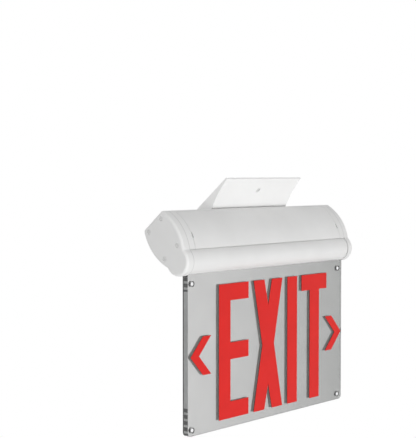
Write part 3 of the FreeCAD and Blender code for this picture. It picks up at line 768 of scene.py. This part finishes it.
def makeShadeRings(s):
    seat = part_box("light_panel")[0].y + (s["seat"] - s["lift"]) * mm
    inner, outer, top, bevel = s["inner"], s["outer"], s["thick"], s["round"]
    profile = ((inner, 0.0), (outer, 0.0), (outer, top - bevel), (outer - bevel, top), (inner + bevel, top),
               (inner, top - bevel))
    turns = circle(s["sides"])
    work = bmesh.new()
    for points in islands("panel_rivets"):
        x = (min(p.x for p in points) + max(p.x for p in points)) / 2
        z = (min(p.z for p in points) + max(p.z for p in points)) / 2
        rings = [[work.verts.new((x + radius * mm * math.cos(t), seat - height * mm, z + radius * mm * math.sin(t)))
                  for t in turns] for radius, height in profile]
        for first, second in zip(rings, rings[1:] + rings[:1]):
            joinRings(work, first, second)
    addPiece("rivetShadeRings", work, "rivetShadeRing", "sign")


makeShadeRings(shadeRingLook)
print("cut edges and seals ready")


# legend and chevrons; mm from the panel's middle and lower edge
legend = {
    "baseLine": 9.9,
    "height": 152.4,
    "stroke": 19.05,
    "raised": 0.7,
    "sunk": 0.06,
    "edgeRound": 0.2,
    "letterE": (-94.0, -41.8),
    "stemE": 19.9,
    "letterX": (-32.4, 22.0),
    "armX": 20.0,
    "waistX": 21.9,
    "notchX": 29.8,
    "letterI": (32.0, 51.2),
    "letterT": (60.3, 112.3),
    "stemT": (77.1, 96.6),
    "chevronTips": (-141.5, 143.6),
    "chevronWide": 34.2,
    "chevronStroke": 13.8,
    "chevronHalf": 21.4,
    "chevronMiddle": 86.2,
    # face in red, sides near-black as painted shade, back with a painted glow
    "paints": ("legendRed", "legendSideShade", "legendBackGlow"),  # face, sides and back
}


# a thin figure on the panel's face
def raisedShape(work, outline, s):
    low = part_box("light_panel")[0]
    inset = s["edgeRound"]
    count = len(outline)
    around = [tuple(Vector(outline[(i + step) % count]) for step in (-1, 0, 1)) for i in range(count)]
    flip = math.copysign(1, sum(here.x * after.y - after.x * here.y for before, here, after in around))
    inner = []
    for before, here, after in around:
        e1, e2 = (here - before).normalized(), (after - here).normalized()
        n1, n2 = Vector((-e1.y, e1.x)) * flip, Vector((-e2.y, e2.x)) * flip
        inner.append(here + (n1 + n2) * inset / (1 + n1.dot(n2)))
    rings = ((outline, s["sunk"]), (outline, -s["raised"] + inset), (inner, -s["raised"]))
    back, side, face = [[work.verts.new((p[0] * mm, low.y + depth * mm, low.z + p[1] * mm)) for p in points]
                        for points, depth in rings]
    work.faces.new(back).material_index = 2
    work.faces.new(face)
    joinRings(work, back, side, 1)
    joinRings(work, side, face)


def letterOutlines(s):
    low, top, stroke = s["baseLine"], s["baseLine"] + s["height"], s["stroke"]
    middle = (low + top) / 2
    l, r = s["letterE"]
    stem = l + s["stemE"]
    shapeE = [(l, low), (r, low), (r, low + stroke), (stem, low + stroke), (stem, middle - stroke / 2),
              (r, middle - stroke / 2), (r, middle + stroke / 2), (stem, middle + stroke / 2),
              (stem, top - stroke), (r, top - stroke), (r, top), (l, top)]
    l, r = s["letterX"]
    c, w, a, n = (l + r) / 2, s["waistX"] / 2, s["armX"], s["notchX"]
    shapeX = [(l, low), (l + a, low), (c, low + n), (r - a, low), (r, low), (c + w, middle), (r, top),
              (r - a, top), (c, top - n), (l + a, top), (l, top), (c - w, middle)]
    l, r = s["letterI"]
    shapeI = [(l, low), (r, low), (r, top), (l, top)]
    l, r = s["letterT"]
    a, b = s["stemT"]
    shapeT = [(a, low), (b, low), (b, top - stroke), (r, top - stroke), (r, top), (l, top), (l, top - stroke),
              (a, top - stroke)]
    return {"letterE": shapeE, "letterX": shapeX, "letterI": shapeI, "letterT": shapeT}


def chevronOutline(tip, s):
    side = math.copysign(1, tip)
    wide, stroke, half, middle = s["chevronWide"], s["chevronStroke"], s["chevronHalf"], s["chevronMiddle"]
    points = [(0, 0), (stroke - wide, half), (-wide, half), (-stroke, 0), (-wide, -half), (stroke - wide, -half)]
    return [(tip + side * x, middle + z) for x, z in points]


def makeLegend(s):
    shapes = letterOutlines(s)
    shapes["chevronLeft"], shapes["chevronRight"] = (chevronOutline(tip, s) for tip in s["chevronTips"])
    for name, outline in shapes.items():
        work = bmesh.new()
        raisedShape(work, outline, s)
        piece = addPiece(name, work, s["paints"][0], "sign")
        for paint in s["paints"][1:]:
            piece.data.materials.append(finishes[paint])


makeLegend(legend)
print("legend ready")


# screws with a cross recess; lengths in mm
screwLook = {
    "capScrew": {"recess": 1.0, "slit": 0.28, "deep": 0.7, "round": 0.35},
    "canopyScrew": {"recess": 1.2, "slit": 0.32, "deep": 0.8, "round": 0.4},
    "crossTurn": 0.5,                       # radians
    "taper": 0.7,                           # pit over rim
    "roundSteps": (30, 60, 90),             # degrees
    "sides": 40,
    "tipNear": 0.01,                        # points this near the tip belong to its end face
    "offAxis": 0.3,                         # and those nearer the axis aren't on its rim
    "headShare": 0.9,                       # of the head's radius, beyond which a point is on the head
}


# one screw that fills the space of a carried-over one; outward points out of its head
def crossScrew(work, points, outward, s, look):
    sides = look["sides"]
    middle = sum(points, Vector()) / len(points)
    heights = [(p - middle).dot(outward) for p in points]
    radii = [(p - middle - outward * h).length for p, h in zip(points, heights)]
    top, tail, headRadius = max(heights), min(heights), max(radii)
    tailRadius = min(r for r, h in zip(radii, heights)
                     if h - tail < look["tipNear"] * mm and r > look["offAxis"] * mm)
    seat = min(h for r, h in zip(radii, heights) if r > look["headShare"] * headRadius)
    sideways = outward.cross(Vector((0, 0, 1))).normalized()
    upwards = outward.cross(sideways).normalized()

    def ring(radius, height):
        spokes = [sideways * math.cos(t) + upwards * math.sin(t) for t in circle(sides)]
        return [work.verts.new(middle + outward * height + spoke * radius) for spoke in spokes]

    edge = s["round"] * mm                  # of the head's rounded rim
    rings = [ring(tailRadius, tail), ring(tailRadius, seat)]
    rings += [ring(headRadius, seat), ring(headRadius, top - edge)]
    for step in look["roundSteps"]:
        a = math.radians(step)
        rings.append(ring(headRadius - edge * (1 - math.cos(a)), top - edge + edge * math.sin(a)))
    work.faces.new(rings[0])
    for first, second in zip(rings, rings[1:]):
        joinRings(work, first, second)
    a, b = s["recess"] * mm, s["slit"] * mm
    cross = [(a, -b), (a, b), (b, b), (b, a), (-b, a), (-b, b),
             (-a, b), (-a, -b), (-b, -b), (-b, -a), (b, -a), (b, -b)]
    c, d = math.cos(look["crossTurn"]), math.sin(look["crossTurn"])
    arms = [sideways * (x * c - y * d) + upwards * (x * d + y * c) for x, y in cross]
    rim = [work.verts.new(middle + outward * top + arm) for arm in arms]
    pit = [work.verts.new(middle + outward * (top - s["deep"] * mm) + arm * look["taper"]) for arm in arms]
    edges = [work.edges.get((rings[-1][i], rings[-1][(i + 1) % sides])) for i in range(sides)]
    edges += [work.edges.new((rim[i], rim[(i + 1) % len(rim)])) for i in range(len(rim))]
    bmesh.ops.triangle_fill(work, edges=edges, use_beauty=True, use_dissolve=False)
    joinRings(work, rim, pit)
    work.faces.new(pit)


def makeScrews(s):
    work = bmesh.new()
    for points in islands("end_cap_screws"):
        outward = Vector((math.copysign(1, sum(p.x for p in points)), 0, 0))
        crossScrew(work, points, outward, s["capScrew"], s)
    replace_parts(addPiece("capScrewSet", work, "screwPaint", "housing"), "end_cap_screws")
    work = bmesh.new()
    for points in islands("canopy_screws"):
        crossScrew(work, points, -ceilingAxis, s["canopyScrew"], s)
    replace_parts(addPiece("canopyScrewSet", work, "screwPaint", "housing"), "canopy_screws")


makeScrews(screwLook)
print("screws ready")
